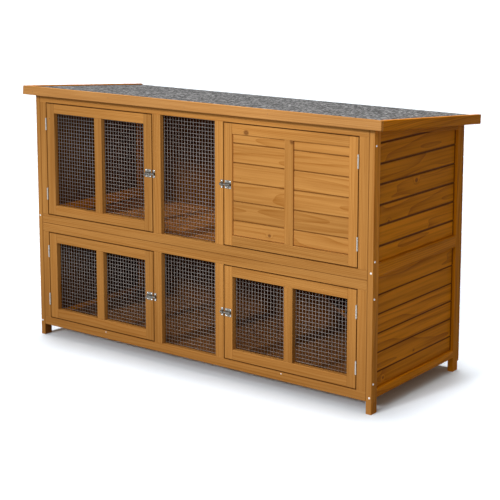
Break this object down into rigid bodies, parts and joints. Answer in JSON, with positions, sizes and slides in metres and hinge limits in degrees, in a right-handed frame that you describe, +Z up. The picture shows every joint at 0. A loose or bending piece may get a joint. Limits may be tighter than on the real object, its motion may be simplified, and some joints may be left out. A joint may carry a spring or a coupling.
{
  "type": "rabbit hutch",
  "caption": "Two-tier timber rabbit hutch with hinged mesh and boarded doors on barrel bolts, a sloping felted roof, a nest and an inner ramp.",
  "frame": {"origin": "middle of the footprint of the whole hutch, roof included, on the ground", "axes": "+X to the right seen from the front, +Y to the back, +Z up; the doors are on the -Y side"},
  "size_m": [1.525, 0.6426, 0.936],
  "materials": {
    "stained_softwood": "honey stain, satin",
    "roof_edge_softwood": "honey stain, satin",
    "cladding_softwood": "honey stain, satin, with knots",
    "plywood": "stained, matt",
    "mineral_felt": "grey mineral granules on bitumen, matt",
    "galvanised_mesh": "dull galvanised wire",
    "zinc_plate": "bright zinc plate"
  },
  "bodies": {
    "hutch": {"front_posts": "stained_softwood", "rear_posts": "stained_softwood", "left_side_rails": "stained_softwood", "right_side_rails": "stained_softwood", "back_rails": "stained_softwood", "upper_frame_stiles": "stained_softwood", "upper_frame_rails": "stained_softwood", "lower_frame_stiles": "stained_softwood", "lower_frame_rails": "stained_softwood", "floor_bearers": "stained_softwood", "ramp_cleats": "stained_softwood", "roof_bearers": "stained_softwood", "front_fascia": "roof_edge_softwood", "side_fascias": "roof_edge_softwood", "left_side_boards": "cladding_softwood", "right_side_boards": "cladding_softwood", "back_boards": "cladding_softwood", "upper_floor": "plywood", "lower_floor": "plywood", "nest_partition": "plywood", "ramp_board": "plywood", "roof_deck": "plywood", "roof_felt": "mineral_felt", "upper_centre_mesh": "galvanised_mesh", "lower_centre_mesh": "galvanised_mesh", "hinge_frame_leaves": "zinc_plate", "hinge_pins": "zinc_plate", "bolt_keepers": "zinc_plate", "frame_screws": "zinc_plate", "frame_bolts": "zinc_plate"},
    "upper_left_door": {"upper_left_door_stiles": "stained_softwood", "upper_left_door_rails": "stained_softwood", "upper_left_door_mesh": "galvanised_mesh", "upper_left_hinge_leaves": "zinc_plate", "upper_left_bolt_case": "zinc_plate", "upper_left_bolt_screws": "zinc_plate"},
    "upper_left_bolt": {"upper_left_bolt_rod": "zinc_plate"},
    "upper_right_door": {"upper_right_door_stiles": "stained_softwood", "upper_right_door_rails": "stained_softwood", "upper_right_door_boards": "cladding_softwood", "upper_right_hinge_leaves": "zinc_plate", "upper_right_bolt_case": "zinc_plate", "upper_right_bolt_screws": "zinc_plate"},
    "upper_right_bolt": {"upper_right_bolt_rod": "zinc_plate"},
    "lower_left_door": {"lower_left_door_stiles": "stained_softwood", "lower_left_door_rails": "stained_softwood", "lower_left_door_mesh": "galvanised_mesh", "lower_left_hinge_leaves": "zinc_plate", "lower_left_bolt_case": "zinc_plate", "lower_left_bolt_screws": "zinc_plate"},
    "lower_left_bolt": {"lower_left_bolt_rod": "zinc_plate"},
    "lower_right_door": {"lower_right_door_stiles": "stained_softwood", "lower_right_door_rails": "stained_softwood", "lower_right_door_mesh": "galvanised_mesh", "lower_right_hinge_leaves": "zinc_plate", "lower_right_bolt_case": "zinc_plate", "lower_right_bolt_screws": "zinc_plate"},
    "lower_right_bolt": {"lower_right_bolt_rod": "zinc_plate"}
  },
  "joints": [
    {"name": "upper_left_door_hinge", "type": "hinge", "parent": "hutch", "child": "upper_left_door", "pos_m": [-0.673, -0.29572, 0.67], "axis": [0, 0, -1], "range_deg": [0, 170]},
    {"name": "upper_left_bolt_slide", "type": "slide", "parent": "upper_left_door", "child": "upper_left_bolt", "axis": [1, 0, 0], "range_m": [0, 0.012]},
    {"name": "upper_right_door_hinge", "type": "hinge", "parent": "hutch", "child": "upper_right_door", "pos_m": [0.668, -0.29572, 0.67], "axis": [0, 0, 1], "range_deg": [0, 170]},
    {"name": "upper_right_bolt_slide", "type": "slide", "parent": "upper_right_door", "child": "upper_right_bolt", "axis": [-1, 0, 0], "range_m": [0, 0.012]},
    {"name": "lower_left_door_hinge", "type": "hinge", "parent": "hutch", "child": "lower_left_door", "pos_m": [-0.673, -0.29572, 0.2345], "axis": [0, 0, -1], "range_deg": [0, 170]},
    {"name": "lower_left_bolt_slide", "type": "slide", "parent": "lower_left_door", "child": "lower_left_bolt", "axis": [1, 0, 0], "range_m": [0, 0.012]},
    {"name": "lower_right_door_hinge", "type": "hinge", "parent": "hutch", "child": "lower_right_door", "pos_m": [0.668, -0.29572, 0.2345], "axis": [0, 0, 1], "range_deg": [0, 170]},
    {"name": "lower_right_bolt_slide", "type": "slide", "parent": "lower_right_door", "child": "lower_right_bolt", "axis": [-1, 0, 0], "range_m": [0, 0.012]}
  ]
}
